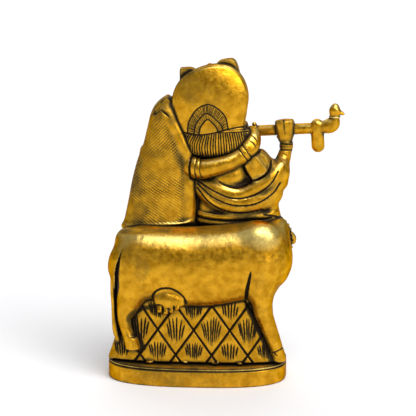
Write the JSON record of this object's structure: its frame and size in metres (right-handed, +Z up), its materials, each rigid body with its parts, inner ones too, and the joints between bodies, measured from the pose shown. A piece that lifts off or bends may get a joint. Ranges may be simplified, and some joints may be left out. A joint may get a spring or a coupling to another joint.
{
  "type": "brass figure group on a plinth",
  "caption": "Cast brass figurine: a flute player and his veiled companion lean on a cow, over an engraved mound and a low oval plinth.",
  "frame": {"origin": "middle of the plinth's flat underside", "axes": "+Z up, the figures face -Y, the cow's rump is at +X and the flute points to -X"},
  "size_m": [0.1445, 0.0636, 0.1983],
  "materials": {
    "plinth_brass": "satin, antiqued dark in the grooves",
    "figure_brass": "satin, antiqued dark in the recesses, high spots polished",
    "flute_brass": "satin, antiqued dark in the recesses"
  },
  "bodies": {
    "root": {"plinth": "plinth_brass", "figure_group": "figure_brass", "flute": "flute_brass"}
  },
  "joints": []
}
